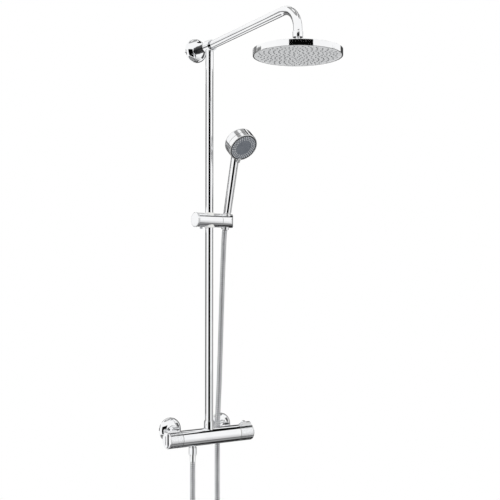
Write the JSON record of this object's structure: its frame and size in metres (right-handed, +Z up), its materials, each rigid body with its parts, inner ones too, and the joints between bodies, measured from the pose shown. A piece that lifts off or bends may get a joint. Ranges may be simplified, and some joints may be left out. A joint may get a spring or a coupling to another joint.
{
  "type": "rainfall shower column",
  "caption": "Wall-mounted shower column: thermostatic bar valve, riser and swan arm with a round rain head, sliding holder, hand spray on a hanging hose.",
  "frame": {"origin": "on the wall plane, midway between the two water inlets, at the inlets' height", "axes": "+Z up along the riser, +X to the right along the wall, +Y into the wall (the column stands at negative Y)"},
  "size_m": [0.251, 0.5515, 1.4795],
  "materials": {
    "chrome": "mirror-bright chrome plate",
    "hose_metal": "bright chromed interlocking metal hose",
    "brass": "machined brass",
    "steel": "zinc-plated steel",
    "rubber": "black nitrile rubber",
    "white_plastic": "moulded white acetal",
    "black_plastic": "gloss black ribbed sleeve",
    "grey_face": "light grey nozzle plate",
    "dark_face": "mid-grey satin spray face"
  },
  "bodies": {
    "root": {"left_wall_flange": "chrome", "left_wall_union": "chrome", "left_union_nut": "chrome", "left_union_washer": "rubber", "left_check_valve": "white_plastic", "right_wall_flange": "chrome", "right_wall_union": "chrome", "right_union_nut": "chrome", "right_union_washer": "rubber", "right_check_valve": "white_plastic", "valve_body": "chrome", "flow_cartridge": "brass", "thermostat_cartridge": "brass", "riser_collar": "chrome", "riser_o_ring": "rubber", "hose_valve_nut": "chrome", "hose_valve_washer": "rubber", "hose_valve_ferrule": "chrome", "riser_tube": "chrome", "top_wall_flange": "chrome", "wall_stay": "black_plastic", "wall_plate": "steel", "wall_screw_left": "steel", "wall_screw_right": "steel", "riser_tee": "chrome", "shower_arm": "chrome", "hose": "hose_metal"},
    "flow_control": {"flow_spindle": "brass", "flow_handle": "chrome", "flow_handle_end_cap": "chrome", "flow_handle_lever": "chrome"},
    "temperature_control": {"temperature_spindle": "brass", "temperature_handle": "chrome", "temperature_end_cap": "chrome", "temperature_handle_lever": "chrome", "temperature_stop_spring": "steel"},
    "stop_button": {"temperature_stop_button": "chrome"},
    "carriage": {"slider_bush_upper": "white_plastic", "slider_bush_lower": "white_plastic"},
    "slider": {"slider_body": "chrome", "slider_clamp_shoe": "white_plastic", "slider_lock_screw": "steel", "holder_pivot_bolt": "steel", "holder_washer": "rubber"},
    "clamp_knob": {"slider_clamp_knob": "chrome", "slider_clamp_screw": "brass"},
    "holder": {"handset_holder": "chrome"},
    "hose_end": {"hose_top_nut": "chrome", "hose_top_washer": "rubber"},
    "handset": {"handset_body": "chrome", "handset_spray_face": "dark_face", "handset_water_plate": "white_plastic"},
    "spray_selector": {"handset_selector_ring": "chrome"},
    "arm_swivel": {"arm_ball_nut": "chrome", "swivel_ball": "chrome"},
    "rain_head": {"rain_head_shell": "chrome", "rain_head_face": "grey_face", "rain_head_mat": "rubber", "rain_head_socket": "chrome", "ball_seal": "rubber"}
  },
  "joints": [
    {"name": "flow_turn", "type": "hinge", "parent": "root", "child": "flow_control", "pos_m": [-0.1, -0.066, -0.014], "axis": [1, 0, 0], "range_deg": [-80, 80]},
    {"name": "temperature_turn", "type": "hinge", "parent": "root", "child": "temperature_control", "pos_m": [0.1, -0.066, -0.014], "axis": [1, 0, 0], "range_deg": [-130, 80]},
    {"name": "stop_button_press", "type": "slide", "parent": "temperature_control", "child": "stop_button", "axis": [0, 0.1392, -0.9903], "range_m": [0, 0.0018], "stiffness_N_per_m": 1500, "springref_m": -0.0005, "deforming": ["temperature_stop_spring"]},
    {"name": "slider_height", "type": "slide", "parent": "root", "child": "carriage", "axis": [0, 0, 1], "range_m": [-0.18, 0.15], "deforming": ["hose"]},
    {"name": "slider_swivel", "type": "hinge", "parent": "carriage", "child": "slider", "pos_m": [0, -0.066, 0.5245], "axis": [0, 0, 1], "range_deg": [-75, 45]},
    {"name": "clamp_knob_turn", "type": "hinge", "parent": "slider", "child": "clamp_knob", "pos_m": [-0.041, -0.066, 0.5245], "axis": [1, 0, 0], "range_deg": [-90, 45]},
    {"name": "holder_tilt", "type": "hinge", "parent": "slider", "child": "holder", "pos_m": [0.051, -0.066, 0.5245], "axis": [1, 0, 0], "range_deg": [-4, 22]},
    {"name": "handset_lift", "type": "slide", "parent": "holder", "child": "hose_end", "axis": [0, -0.247, 0.969], "range_m": [0, 0.045]},
    {"name": "handset_turn", "type": "hinge", "parent": "hose_end", "child": "handset", "pos_m": [0.051, -0.066, 0.5245], "axis": [0, -0.247, 0.969], "range_deg": [-90, 90]},
    {"name": "spray_selector_turn", "type": "hinge", "parent": "handset", "child": "spray_selector", "pos_m": [0.051, -0.14322, 0.70234], "axis": [0, -0.7627, -0.6468], "range_deg": [-20, 20]},
    {"name": "head_turn", "type": "hinge", "parent": "root", "child": "arm_swivel", "pos_m": [0, -0.4235, 0.898], "axis": [0, 0, 1], "continuous": true},
    {"name": "head_tilt", "type": "hinge", "parent": "arm_swivel", "child": "rain_head", "pos_m": [0, -0.4235, 0.898], "axis": [1, 0, 0], "range_deg": [-12, 12]}
  ]
}
